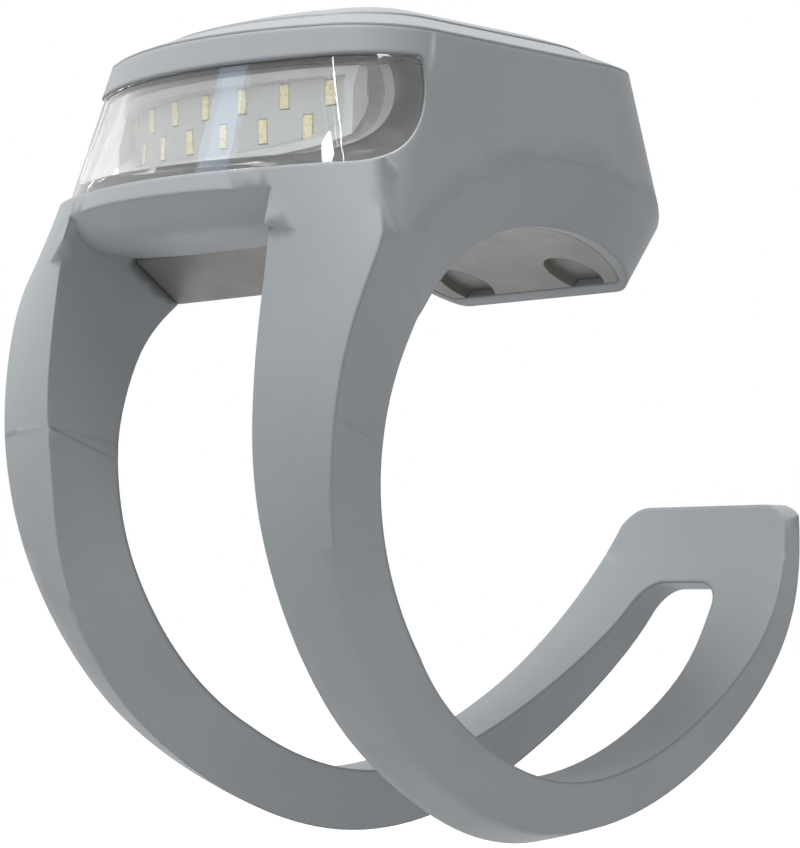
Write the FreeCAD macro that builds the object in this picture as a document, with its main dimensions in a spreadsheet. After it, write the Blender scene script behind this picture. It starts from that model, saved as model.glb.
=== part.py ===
import FreeCAD, Part
import math
import os
import Sketcher

from FreeCAD import Matrix, Placement, Rotation, Vector

# Clip-on bicycle light: a silicone sleeve with a hooked band, round a plastic light module.
# Frame: origin on the handlebar's axis, +X along the bar, -Y where the light shines, +Z up.
# Lengths are in millimetres and angles in degrees. Angles round the bar are counted from
# straight up, over the front, to below and behind.

DIMENSIONS = {
    # The bar and the saddle that sits on it
    "bar_radius": 12.7,
    "saddle_wall": 1.0,
    # The head seen from above, at the level plan_level
    "plan_level": 14.0,
    "block_low": 6.0,
    "block_high": 26.0,
    "rear_reach": 10.5,
    "rear_arc": 14.4,
    "rear_corner": 5.0,
    "side_half_width": 10.95,
    "side_station": 4.4,
    "side_taper": 7.6,
    "front_reach": 16.8,
    "front_arc": 25.0,
    "front_corner_high": 5.5,
    "front_corner_low": 0.8,
    "side_draft": 12.0,
    "front_draft": 17.0,
    # The tilted rim and the dome over it
    "rim_level": 20.95,
    "rim_station": -4.0,
    "rim_tilt": 2.0,
    "dome_rise": 2.5,
    "dome_station": -3.0,
    # The bevel behind the bar's axis, from the saddle's edge up to the ridge
    "bevel_low_level": 9.6,
    "bevel_low_half_width": 6.6,
    "bevel_low_reach": 6.9,
    "bevel_low_corner": 0.4,
    "bevel_top_level": 16.6,
    "bevel_top_half_width": 12.6,
    "bevel_top_reach": 13.2,
    "bevel_top_corner": 12.5,
    "bevel_lean": 0.63,
    # Silicone skin, the button in its top and the room under the button
    "skin": 1.3,
    "skin_top": 1.0,
    "lip_lift": 1.0,
    "fit_gap": 0.05,
    "button_seam": 2.2,
    "button_gap": 0.08,
    "button_skin": 1.2,
    "travel_room": 0.45,
    # The band round the bar: angles, half widths at the bar, how far the sides lean out
    "wall_end_angle": 53.0,
    "collar_angle": 40.0,
    "shoulder_angle": 60.0,
    "knee_angle": 85.0,
    "shin_angle": 118.0,
    "calf_angle": 145.0,
    "sole_angle": 180.0,
    "heel_angle": 225.0,
    "nail_angle": 250.0,
    "tip_angle": 270.0,
    "saddle_half_width": 9.3,
    "collar_half_width": 11.5,
    "shoulder_half_width": 12.4,
    "knee_half_width": 12.8,
    "shin_half_width": 12.75,
    "calf_half_width": 12.05,
    "sole_half_width": 10.3,
    "heel_half_width": 9.05,
    "nail_half_width": 8.0,
    "tip_half_width": 6.0,
    "collar_lean": 0.52,
    "shoulder_lean": 0.42,
    "knee_lean": 0.15,
    "shin_lean": -0.38,
    "calf_lean": -0.6,
    "sole_lean": -0.35,
    "heel_lean": -0.15,
    "tip_lean": -0.2,
    "collar_edge": 6.0,
    "shoulder_edge": 4.4,
    "knee_edge": 3.1,
    "shin_edge": 2.2,
    "calf_edge": 2.22,
    "sole_edge": 2.42,
    "heel_edge": 1.98,
    "tip_edge": 1.1,
    "collar_crown": 5.1,
    "shoulder_crown": 2.2,
    "knee_crown": 1.1,
    "shin_crown": 1.6,
    "calf_crown": 1.5,
    "sole_crown": 1.2,
    "heel_crown": 0.5,
    "tip_crown": 0.05,
    "shoulder_slot": 9.3,
    "knee_slot": 8.1,
    "shin_slot": 6.65,
    "calf_slot": 6.0,
    "sole_slot": 5.6,
    "heel_slot": 4.9,
    "nail_slot": 3.4,
    "tip_slot": 1.9,
    "shoulder_flare": -0.12,
    "knee_flare": 0.05,
    "shin_flare": 0.6,
    "calf_flare": 0.64,
    "sole_flare": 0.3,
    "slot_start_angle": 30.0,
    "slot_reach_high": 14.0,
    "slot_reach_low": 6.0,
    "slot_depth": 4.0,
    "band_spare": 1.0,
    "envelope_low": 7.0,
    "envelope_high": 32.0,
    "envelope_high_band": 23.0,
    "open_angle": 150.0,
    "sole_radius": 13.35,
    "heel_radius": 14.6,
    "tip_radius": 18.6,
    "crossbar": 4.3,
    "slot_end_corner": 1.8,
    "tip_corner": 2.5,
    # The chin between the two arms
    "chin_reach": 11.0,
    "chin_level": 11.7,
    "chin_roll": 2.0,
    "chin_thick": 1.6,
    "chin_ease": 0.35,
    "chin_clear": 12.0,
    "lip_reach": 0.6,
    "lip_ratio": 1.36,
    "saddle_front_angle": 38.5,
    # Where the band flexes
    "flex_angle": 78.0,
    "flex_radius": 16.72,
    "flex_wedge": 10.6,
    # The lens window
    "window_low": 14.6,
    "window_high": 19.75,
    "window_end": 9.25,
    "window_low_corner": 4.5,
    "window_high_corner": 0.3,
    "lens_recess": 0.12,
    "lens_wall": 1.0,
    "lens_depth": 3.2,
    "lens_edge": 0.5,
    "lens_end_edge": 1.1,
    "gasket_wall": 0.25,
    # The module's shells
    "shell_wall": 1.0,
    "ceiling_drop": 2.45,
    "split_level": 13.95,
    "seal_inset": 0.3,
    "seal_width": 0.4,
    "seal_height": 0.5,
    # The light board and its lamps
    "board_arc": 24.6,
    "board_front": 12.4,
    "light_board_thick": 0.8,
    "light_board_low": 15.3,
    "light_board_high": 19.0,
    "light_board_half_angle": 21.0,
    "lamp_pitch": 2.66,
    "lamp_width": 0.5,
    "lamp_height": 1.1,
    "lamp_depth": 0.5,
    "upper_row": 18.1,
    "lower_row": 16.6,
    "tray_gap": 0.06,
    "tray_wall": 0.4,
    "tray_depth": 1.15,
    "tray_half_angle": 22.0,
    "ribbon_half_width": 2.2,
    "ribbon_thick": 0.15,
    # The main board and what it carries
    "board_low": 17.05,
    "board_thick": 0.6,
    "board_half_width": 7.4,
    "board_reach": 9.6,
    "board_length": 13.8,
    "tab_half_width": 4.4,
    "tab_length": 2.0,
    "button_reach": 2.8,
    "switch_width": 4.5,
    "switch_height": 1.1,
    "stem_radius": 0.9,
    "stem_gap": 0.05,
    "stem_low": 18.3,
    "stem_room": 0.45,
    "plunger_low": 20.05,
    "plunger_radius": 2.4,
    "flange_radius": 3.1,
    "flange_thick": 0.35,
    "plunger_gap": 0.12,
    "driver_size": 2.9,
    "driver_height": 0.8,
    "charger_length": 2.9,
    "charger_width": 1.6,
    "charger_height": 0.9,
    "coil_radius": 1.5,
    "coil_height": 1.0,
    "chip_side": 4.6,
    "capacitor_length": 1.0,
    "capacitor_width": 0.5,
    "capacitor_height": 0.5,
    "capacitor_pitch": 1.1,
    "post_radius": 1.0,
    "post_height": 1.6,
    "post_side": 6.2,
    "post_station": 3.0,
    "screw_radius": 0.5,
    "screw_head_radius": 0.95,
    "screw_head_height": 0.4,
    "screw_length": 1.7,
    # The cell
    "cell_low": 14.05,
    "cell_width": 12.4,
    "cell_length": 10.6,
    "cell_thick": 2.9,
    "cell_reach": 9.2,
    "cell_corner": 0.6,
    "pad_thick": 0.35,
    "pad_width": 9.0,
    "pad_length": 4.0,
    "pad_reach": 2.6,
    "lead_radius": 0.3,
    "lead_side": 1.2,
    "lead_level": 16.3,
    "lead_run": 0.6,
    # The charging socket
    "socket_width": 7.5,
    "socket_height": 2.5,
    "socket_length": 5.4,
    "socket_wall": 0.3,
    "socket_station": 2.5,
    "socket_window": 4.0,
    "tongue_width": 5.2,
    "tongue_thick": 0.6,
    "tongue_length": 3.6,
    # Finger recesses in the saddle
    "recess_radius": 1.6,
    "recess_depth": 0.45,
    "recess_side": 4.2,
    "recess_station": 6.0,
}


# Building blocks


def add_sheet(doc):
    """Write the driving dimensions into a spreadsheet, one named cell each."""
    sheet = doc.addObject("Spreadsheet::Sheet", "sheet")
    for row, (name, value) in enumerate(DIMENSIONS.items(), start=1):
        sheet.set(f"A{row}", name)
        sheet.set(f"B{row}", str(value))
        sheet.setAlias(f"B{row}", name)
    doc.recompute()
    return sheet


class Sizes:
    """The sheet's values, read by name."""

    def __init__(self, sheet):
        for name in DIMENSIONS:
            setattr(self, name, float(getattr(sheet, name)))


def tan(angle):
    return math.tan(math.radians(angle))


def ring_point(x, radius, angle):
    """The point at x along the bar, at a radius and an angle round it."""
    turn = math.radians(angle)
    return Vector(x, -radius * math.sin(turn), radius * math.cos(turn))


def steady_curve(stations, angle):
    """Value at an angle on the smooth curve through (angle, value) stations."""
    low = 0
    while low < len(stations) - 2 and angle > stations[low + 1][0]:
        low += 1
    (a, va), (b, vb) = stations[low], stations[low + 1]
    before = stations[max(low - 1, 0)]
    after = stations[min(low + 2, len(stations) - 1)]
    slope_a = (vb - before[1]) / (b - before[0])
    slope_b = (after[1] - va) / (after[0] - a)
    t = (angle - a) / (b - a)
    span = b - a
    return ((2 * t**3 - 3 * t**2 + 1) * va + (t**3 - 2 * t**2 + t) * span * slope_a
            + (3 * t**2 - 2 * t**3) * vb + (t**3 - t**2) * span * slope_b)


def angles_between(first, last, count):
    return [first + (last - first) * step / (count - 1) for step in range(count)]


def extrude_along_x(edges, half_width):
    """Extrude a closed outline drawn in the YZ plane to both sides of it."""
    face = Part.Face(Part.Wire(edges))
    face.translate(Vector(-half_width, 0, 0))
    return face.extrude(Vector(2 * half_width, 0, 0))


def polygon_edges(points):
    closed = points + [points[0]]
    return [Part.LineSegment(a, b).toShape() for a, b in zip(closed, closed[1:])]


def box_between(low, high):
    size = high - low
    return Part.makeBox(size.x, size.y, size.z, low)


def bar_cylinder(radius, half_length=40.0):
    return Part.makeCylinder(radius, 2 * half_length, Vector(-half_length, 0, 0), Vector(1, 0, 0))


def beyond_angle(angle, axis_radius=0.0, axis_angle=0.0, turned=0.0):
    """The half space on the far side, counted round the bar, of a plane that holds the X direction."""
    reach = 80.0
    pivot = ring_point(0, axis_radius, axis_angle)
    block = box_between(Vector(-reach, -reach, -reach), Vector(reach, 0, reach))
    block.rotate(Vector(0, 0, 0), Vector(1, 0, 0), angle + turned)
    block.translate(pivot)
    return block


# The head


def blend_centre(distance, normal, circle_centre, circle_radius, corner, toward_front):
    """Centre of a corner arc that touches the side line and an end circle from inside."""
    line = distance - corner
    reach = circle_radius - corner
    gap = line - normal.dot(circle_centre)
    along = math.sqrt(reach * reach - gap * gap)
    tangent = Vector(normal.y, -normal.x, 0)
    sign = 1.0 if toward_front else -1.0
    return circle_centre + normal * gap + tangent * (sign * along)


def head_outline(s, level, inset):
    """The head's outline at a level, drawn inwards by inset."""
    grow = (s.plan_level - level) * tan(s.side_draft) - inset
    front_grow = (s.plan_level - level) * tan(s.front_draft) - inset
    taper = math.radians(s.side_taper)
    normal = Vector(math.cos(taper), math.sin(taper), 0)
    distance = normal.dot(Vector(s.side_half_width, s.side_station, 0)) + grow
    front_centre = Vector(0, s.front_arc - s.front_reach, 0)
    front_radius = s.front_arc + front_grow
    rear_centre = Vector(0, s.rear_reach - s.rear_arc, 0)
    rear_radius = s.rear_arc + grow
    share = (level - s.block_low) / (s.block_high - s.block_low)
    front_corner = s.front_corner_low + (s.front_corner_high - s.front_corner_low) * share
    front_corner = max(front_corner - 0.5 * inset, 0.5)
    rear_corner = s.rear_corner - 0.5 * inset
    front_blend = blend_centre(distance, normal, front_centre, front_radius, front_corner, True)
    rear_blend = blend_centre(distance, normal, rear_centre, rear_radius, rear_corner, False)

    def end_point(blend, centre, radius):
        return centre + (blend - centre).normalize() * radius

    def side_point(blend, corner):
        return blend + normal * corner

    def middle_point(blend, corner, a, b):
        return blend + ((a + b) * 0.5 - blend).normalize() * corner

    front_end = end_point(front_blend, front_centre, front_radius)
    front_side = side_point(front_blend, front_corner)
    rear_side = side_point(rear_blend, rear_corner)
    rear_end = end_point(rear_blend, rear_centre, rear_radius)
    right = [front_end, middle_point(front_blend, front_corner, front_end, front_side), front_side,
             rear_side, middle_point(rear_blend, rear_corner, rear_side, rear_end), rear_end]
    right = [Vector(p.x, p.y, level) for p in right]
    left = [Vector(-p.x, p.y, p.z) for p in right]
    front_middle = Vector(0, front_centre.y - front_radius, level)
    rear_middle = Vector(0, rear_centre.y + rear_radius, level)
    return Part.Wire([
        Part.Arc(left[0], front_middle, right[0]).toShape(),
        Part.Arc(right[0], right[1], right[2]).toShape(),
        Part.LineSegment(right[2], right[3]).toShape(),
        Part.Arc(right[3], right[4], right[5]).toShape(),
        Part.Arc(right[5], rear_middle, left[5]).toShape(),
        Part.Arc(left[5], left[4], left[3]).toShape(),
        Part.LineSegment(left[3], left[2]).toShape(),
        Part.Arc(left[2], left[1], left[0]).toShape(),
    ])


def head_block(s, inset):
    """The head's drafted walls, from below the bar's axis to above the dome."""
    low = s.block_low
    high = s.block_high
    return Part.makeLoft([head_outline(s, low, inset), head_outline(s, high, inset)], True, True)


def rim_normal(s):
    return Vector(0, math.sin(math.radians(s.rim_tilt)), math.cos(math.radians(s.rim_tilt)))


def rim_height(s, y):
    return s.rim_level - (y - s.rim_station) * tan(s.rim_tilt)


def below_rim(s, drop):
    reach = 80.0
    block = box_between(Vector(-reach, -reach, -reach), Vector(reach, reach, 0))
    block.rotate(Vector(0, 0, 0), Vector(1, 0, 0), -s.rim_tilt)
    block.translate(Vector(0, s.rim_station, s.rim_level) - rim_normal(s) * drop)
    return block


def crowned(s, inset, drop):
    """The drafted block, ending in a dome that springs from the rim plane, lowered by drop."""
    block = head_block(s, inset)
    normal = rim_normal(s)
    foot = Vector(0, s.rim_station, s.rim_level) - normal * drop
    rim = block.slice(normal, normal.dot(foot))[0]
    middle = Vector(0, s.dome_station, rim_height(s, s.dome_station)) - normal * drop
    rings = []
    for share in (1.0, 0.86, 0.68, 0.46, 0.24, 0.08):
        ring = rim.copy()
        ring.scale(share, middle)
        ring.translate(normal * (s.dome_rise * (1.0 - share * share)))
        rings.append(ring)
    dome = Part.makeLoft(rings, True, False)
    return block.common(below_rim(s, drop)).fuse(dome).removeSplitter()


def bevel_outline(s, level, side, rear, corner, lift):
    """Outline of the bevel behind the bar's axis: straight sides and a rounded rear."""
    turn = corner * (1.0 - math.sqrt(0.5))

    def at(x, y):
        return Vector(x, y, level + lift)

    front = -0.05
    edges = [
        Part.LineSegment(at(-side, front), at(side, front)),
        Part.LineSegment(at(side, front), at(side, rear - corner)),
        Part.Arc(at(side, rear - corner), at(side - turn, rear - turn), at(side - corner, rear)),
        Part.LineSegment(at(side - corner, rear), at(corner - side, rear)),
        Part.Arc(at(corner - side, rear), at(turn - side, rear - turn), at(-side, rear - corner)),
        Part.LineSegment(at(-side, rear - corner), at(-side, front)),
    ]
    return Part.Wire([edge.toShape() for edge in edges])


def rear_bevel(s, lift):
    """The space inside the bevel behind the bar's axis."""
    low = bevel_outline(s, s.bevel_low_level, s.bevel_low_half_width, s.bevel_low_reach,
                        s.bevel_low_corner, lift)
    top = bevel_outline(s, s.bevel_top_level, s.bevel_top_half_width, s.bevel_top_reach,
                        s.bevel_top_corner, lift)
    leaning = Part.makeLoft([low, top], True, True)
    reach = 80.0
    above = box_between(Vector(-reach, 0, s.bevel_top_level + lift), Vector(reach, reach, reach))
    return leaning.fuse(above)


# The band's sizes at an angle round the bar


def band_half_width(s, angle):
    """Half width of the head and the band where they touch the bar."""
    return steady_curve([
        (-s.collar_angle, s.saddle_half_width),
        (0.0, s.saddle_half_width),
        (s.collar_angle, s.collar_half_width),
        (s.shoulder_angle, s.shoulder_half_width),
        (s.knee_angle, s.knee_half_width),
        (s.shin_angle, s.shin_half_width),
        (s.calf_angle, s.calf_half_width),
        (s.sole_angle, s.sole_half_width),
        (s.heel_angle, s.heel_half_width),
        (s.nail_angle, s.nail_half_width),
        (s.tip_angle, s.tip_half_width),
    ], angle)


def side_lean(s, angle):
    """How far the side leans out for each millimetre away from the bar."""
    return steady_curve([
        (-s.collar_angle, s.bevel_lean),
        (0.0, s.bevel_lean),
        (s.collar_angle, s.collar_lean),
        (s.shoulder_angle, s.shoulder_lean),
        (s.knee_angle, s.knee_lean),
        (s.shin_angle, s.shin_lean),
        (s.calf_angle, s.calf_lean),
        (s.sole_angle, s.sole_lean),
        (s.heel_angle, s.heel_lean),
        (s.tip_angle, s.tip_lean),
    ], angle)


def slot_half_width(s, angle):
    return steady_curve([
        (s.shoulder_angle, s.shoulder_slot),
        (s.knee_angle, s.knee_slot),
        (s.shin_angle, s.shin_slot),
        (s.calf_angle, s.calf_slot),
        (s.sole_angle, s.sole_slot),
        (s.heel_angle, s.heel_slot),
        (s.nail_angle, s.nail_slot),
        (s.tip_angle, s.tip_slot),
    ], angle)


def slot_flare(s, angle):
    """How much wider the slot gets on each side for each millimetre away from the bar."""
    return steady_curve([
        (s.shoulder_angle, s.shoulder_flare),
        (s.knee_angle, s.knee_flare),
        (s.shin_angle, s.shin_flare),
        (s.calf_angle, s.calf_flare),
        (s.sole_angle, s.sole_flare),
        (s.heel_angle, 0.0),
        (s.tip_angle, 0.0),
    ], angle)


def inner_radius(s, angle):
    """The band leaves the bar at open_angle and opens out towards its tip."""
    if angle <= s.open_angle:
        return s.bar_radius
    return steady_curve([
        (s.open_angle - 30.0, s.bar_radius),
        (s.open_angle, s.bar_radius),
        (s.sole_angle, s.sole_radius),
        (s.heel_angle, s.heel_radius),
        (s.tip_angle, s.tip_radius),
    ], angle)


def edge_thickness(s, angle):
    """Thickness of the band along its two sides."""
    return steady_curve([
        (s.collar_angle, s.collar_edge),
        (s.shoulder_angle, s.shoulder_edge),
        (s.knee_angle, s.knee_edge),
        (s.shin_angle, s.shin_edge),
        (s.calf_angle, s.calf_edge),
        (s.sole_angle, s.sole_edge),
        (s.heel_angle, s.heel_edge),
        (s.tip_angle, s.tip_edge),
    ], angle)


def crown_rise(s, angle):
    """How much thicker the band is in its middle than along its sides."""
    return steady_curve([
        (s.collar_angle, s.collar_crown),
        (s.shoulder_angle, s.shoulder_crown),
        (s.knee_angle, s.knee_crown),
        (s.shin_angle, s.shin_crown),
        (s.calf_angle, s.calf_crown),
        (s.sole_angle, s.sole_crown),
        (s.heel_angle, s.heel_crown),
        (s.tip_angle, s.tip_crown),
    ], angle)


def side_envelope(s, first, last, count, inset):
    """A wedge round the bar whose two sides are the bevels of the band and the head."""
    sections = []
    low = s.envelope_low
    for angle in angles_between(first, last, count):
        high = s.envelope_high if angle < s.shoulder_angle else s.envelope_high_band

        def half(radius):
            return (band_half_width(s, angle) - inset
                    + side_lean(s, angle) * (radius - inner_radius(s, angle)))
        points = [(-half(low), low), (half(low), low), (half(high), high), (-half(high), high)]
        sections.append(Part.Wire(polygon_edges([ring_point(x, r, angle) for x, r in points])))
    return Part.makeLoft(sections, True, False)


def wall_side(s, angle, radius):
    """Half width of the head's side wall at an angle and a radius round the bar."""
    place = ring_point(0, radius, angle)
    return (s.side_half_width + (s.side_station - place.y) * tan(s.side_taper)
            + (s.plan_level - place.z) * tan(s.side_draft))


def band_loft(s, first, last, count):
    """The band before its sides, slot and bore are cut: each section has a crowned outer side."""
    sections = []
    for angle in angles_between(first, last, count):
        inner = inner_radius(s, angle)
        low = inner - 2.0
        rise = crown_rise(s, angle)
        middle = inner + edge_thickness(s, angle) + rise
        chord = band_half_width(s, angle) + side_lean(s, angle) * edge_thickness(s, angle)
        crown = (chord * chord + rise * rise) / (2.0 * rise)
        flare = (angle - first) / (s.shoulder_angle - first)
        half = chord + s.band_spare
        if flare < 1.0:
            start = wall_side(s, angle, inner + edge_thickness(s, angle)) - 0.1
            half = start + (half - start) * flare**2
        edge = middle - crown + math.sqrt(crown * crown - half * half)
        corners = [ring_point(-half, low, angle), ring_point(half, low, angle),
                   ring_point(half, edge, angle), ring_point(-half, edge, angle)]
        sections.append(Part.Wire([
            Part.LineSegment(corners[0], corners[1]).toShape(),
            Part.LineSegment(corners[1], corners[2]).toShape(),
            Part.Arc(corners[2], ring_point(0, middle, angle), corners[3]).toShape(),
            Part.LineSegment(corners[3], corners[0]).toShape(),
        ]))
    return Part.makeLoft(sections, True, False)


def bar_space(s):
    """What the band leaves free: the bar, and the wider curve behind open_angle."""
    points = [ring_point(0, inner_radius(s, angle), angle)
              for angle in angles_between(s.open_angle - 12.0, s.tip_angle + 3.0, 12)]
    curve = Part.BSplineCurve()
    curve.interpolate(points)
    closing = polygon_edges([points[-1], Vector(), points[0]])[:2]
    wide = extrude_along_x([curve.toShape()] + closing, 40.0)
    return bar_cylinder(s.bar_radius).fuse(wide)


def tip_corners(s):
    """What rounds the two outer corners of the tip, seen along the bar's radius."""
    side = band_half_width(s, s.tip_angle - math.degrees(s.tip_corner / s.tip_radius))
    depth = s.tip_corner + 1.0
    cut = None
    for sign in (-1.0, 1.0):
        centre = sign * (side - s.tip_corner)
        low = Vector(min(centre, centre + sign * depth), 0, -s.tip_corner)
        block = box_between(low, low + Vector(depth, 40.0, depth))
        rod = Part.makeCylinder(s.tip_corner, 50.0, Vector(centre, -1.0, -s.tip_corner), Vector(0, 1, 0))
        piece = block.cut(rod)
        cut = piece if cut is None else cut.fuse(piece)
    return cut


def chin_space(s):
    """The space under the chin, which the slot may take. Its front rolls up into the wall."""
    saddle_edge = ring_point(0, s.bar_radius - s.lip_reach, s.saddle_front_angle)
    slope = Vector(0, -s.chin_reach, s.chin_level)
    eased = s.chin_level + s.chin_ease
    level = eased + s.chin_roll
    draft = math.radians(s.front_draft)
    wall = s.front_reach + (s.plan_level - level) * tan(s.front_draft)
    centre = Vector(0, s.chin_roll / math.cos(draft) - wall, level)
    half_turn = (math.pi / 2 - draft) / 2
    flat_end = Vector(0, centre.y, eased)
    roll_middle = centre + Vector(0, -math.sin(half_turn), -math.cos(half_turn)) * s.chin_roll
    roll_end = centre + Vector(0, -math.cos(draft), -math.sin(draft)) * s.chin_roll
    low = -30.0
    outside = Vector(0, low, level + s.chin_clear)
    below = Vector(0, low, low)
    roll = [
        Part.LineSegment(slope, flat_end).toShape(),
        Part.Arc(flat_end, roll_middle, roll_end).toShape(),
    ] + polygon_edges([roll_end, outside, below, Vector(0, slope.y, low), slope])[:4]
    under_slope = polygon_edges([saddle_edge, slope, Vector(0, slope.y, low), Vector(0, saddle_edge.y, low)])
    face = Part.Face(Part.Wire(roll))
    axis = Vector(0, s.front_arc - s.front_reach, 0)
    turn = math.degrees(math.asin(s.chin_clear / s.front_arc))
    face.rotate(axis, Vector(0, 0, 1), -turn)
    rolled = face.revolve(axis, Vector(0, 0, 1), 2.0 * turn)
    flat = extrude_along_x(roll, s.chin_clear)
    return extrude_along_x(under_slope, s.chin_clear).fuse(flat).fuse(rolled)


def slot_cutter(s):
    """The space between the two arms, from the chin round to the crossbar."""
    last = s.tip_angle - math.degrees(s.crossbar / inner_radius(s, s.tip_angle))
    sections = []
    for angle in angles_between(s.slot_start_angle, last, 18):
        inner = inner_radius(s, angle)
        low = inner - s.slot_depth
        high = inner + steady_curve([
            (s.knee_angle, s.slot_reach_high),
            (s.shin_angle, s.slot_reach_low),
            (s.calf_angle, s.slot_reach_low),
            (s.tip_angle, s.slot_reach_low),
        ], max(angle, s.knee_angle))
        steady_angle = max(angle, s.shoulder_angle - 10.0)
        half = slot_half_width(s, steady_angle)
        flare = slot_flare(s, steady_angle)
        low_half = half - flare * (inner - low)
        high_half = half + flare * (high - inner)
        points = [(-low_half, low), (low_half, low), (high_half, high), (-high_half, high)]
        sections.append(Part.Wire(polygon_edges([ring_point(x, r, angle) for x, r in points])))
    cutter = Part.makeLoft(sections, True, False)
    ends = []
    for edge in cutter.Edges:
        middle = edge.valueAt((edge.FirstParameter + edge.LastParameter) / 2)
        radial = math.hypot(middle.y, middle.z)
        place = (math.degrees(math.atan2(-middle.y, middle.z))) % 360
        spans_radially = abs(edge.Length) > 9.0 and abs(middle.x) > 0.5
        if abs(place - last) < 2.0 and spans_radially and radial > 10.0:
            ends.append(edge)
    return cutter.makeFillet(s.slot_end_corner, ends)


def head_outer(s, inset, lift, drop):
    """The head's outer form, drawn inwards: walls, dome, bevels and the saddle's bore."""
    upper = crowned(s, inset, drop).cut(beyond_angle(s.wall_end_angle))
    sides = side_envelope(s, -s.shoulder_angle, s.shoulder_angle, 9, lift * s.bevel_lean)
    reach = 80.0
    front = box_between(Vector(-reach, -reach, -reach), Vector(reach, 0, reach))
    return upper.common(sides).common(rear_bevel(s, lift).fuse(front))


def above_chin(s, lift):
    """The space over the saddle's edge and the chin, raised by lift."""
    edge = ring_point(0, s.bar_radius - s.lip_reach, s.saddle_front_angle)
    floor = s.chin_level + s.chin_thick + lift
    rise = lift * s.lip_ratio
    points = [
        Vector(0, edge.y * 0.8, edge.z * 0.8),
        Vector(0, edge.y, edge.z + rise),
        Vector(0, -s.chin_reach, s.chin_level + rise),
        Vector(0, -s.chin_reach, floor),
        Vector(0, -40.0, floor),
        Vector(0, -40.0, 40.0),
        Vector(0, 40.0, 40.0),
        Vector(0, 40.0, 0.0),
    ]
    return extrude_along_x(polygon_edges(points), 20.0)


def module_form(s, gap, top_drop):
    """Space for the module: the head's form inside the skin, drawn in by a further gap."""
    form = head_outer(s, s.skin + gap, s.lip_lift + gap, top_drop)
    return form.common(above_chin(s, gap))


def under_button(s, drop):
    """The space under the domed surface that lies drop below the outside."""
    return crowned(s, 0.0, drop)


def button_hole(s):
    return head_block(s, s.button_seam - s.button_gap).cut(under_button(s, s.button_skin + s.travel_room))


# The lens window


def window_prism(s, grow, end_grow):
    """The lens window's side view, drawn outwards by grow, and extruded through the head."""
    low = s.window_low - grow
    high = s.window_high + grow
    end = end_grow - s.window_end
    small = s.window_high_corner
    large = s.window_low_corner + 1.6 * grow
    bend = math.sqrt(0.5)
    front = -30.0
    low_start = Vector(0, end - large, low)
    low_middle = Vector(0, end - large + large * bend, low + large - large * bend)
    low_end = Vector(0, end, low + large)
    high_start = Vector(0, end, high - small)
    high_middle = Vector(0, end - small + small * bend, high - small + small * bend)
    high_end = Vector(0, end - small, high)
    edges = [
        Part.LineSegment(Vector(0, front, low), low_start),
        Part.Arc(low_start, low_middle, low_end),
        Part.LineSegment(low_end, high_start),
        Part.Arc(high_start, high_middle, high_end),
        Part.LineSegment(high_end, Vector(0, front, high)),
        Part.LineSegment(Vector(0, front, high), Vector(0, front, low)),
    ]
    return extrude_along_x([edge.toShape() for edge in edges], 20.0)


def arc_slab(s, inner, outer, low, high, half_angle):
    """A curved slab between two radii about the light board's upright axis."""
    centre = s.board_arc - s.board_front
    corners = [Vector(0, centre - r, z) for r, z in
               ((inner, low), (outer, low), (outer, high), (inner, high))]
    face = Part.Face(Part.Wire(polygon_edges(corners)))
    axis = Vector(0, centre, 0)
    face.rotate(axis, Vector(0, 0, 1), -half_angle)
    return face.revolve(axis, Vector(0, 0, 1), 2.0 * half_angle)


def lamp_places(s):
    """Turn about the light board's axis and level of each lamp."""
    pitch = math.degrees(s.lamp_pitch / s.board_arc)
    upper = [(pitch * step, s.upper_row) for step in (-3, -2, -1, 0, 1, 2, 3)]
    lower = [(pitch * step, s.lower_row) for step in (-2.5, -1.5, -0.5, 0.5, 1.5, 2.5)]
    return upper + lower


def lamp_boxes(s, grow, depth):
    """A box for each lamp, its back on the light board."""
    centre = s.board_arc - s.board_front
    width = s.lamp_width + 2 * grow
    height = s.lamp_height + 2 * grow
    boxes = []
    for angle, level in lamp_places(s):
        corner = Vector(-width / 2, centre - s.board_arc - depth, level - height / 2)
        box = Part.makeBox(width, depth, height, corner)
        box.rotate(Vector(0, centre, 0), Vector(0, 0, 1), angle)
        boxes.append(box)
    return boxes


# Sub-parts drawn as sketches, or put together from simple solids


def own_plane(body, role):
    for item in body.Origin.OriginFeatures:
        if item.Role == role:
            return item
    raise RuntimeError("plane not found")


def new_body(doc, name):
    body = doc.addObject("PartDesign::Body", name)
    body.Label = name
    body.Placement = Placement()
    return body


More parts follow.
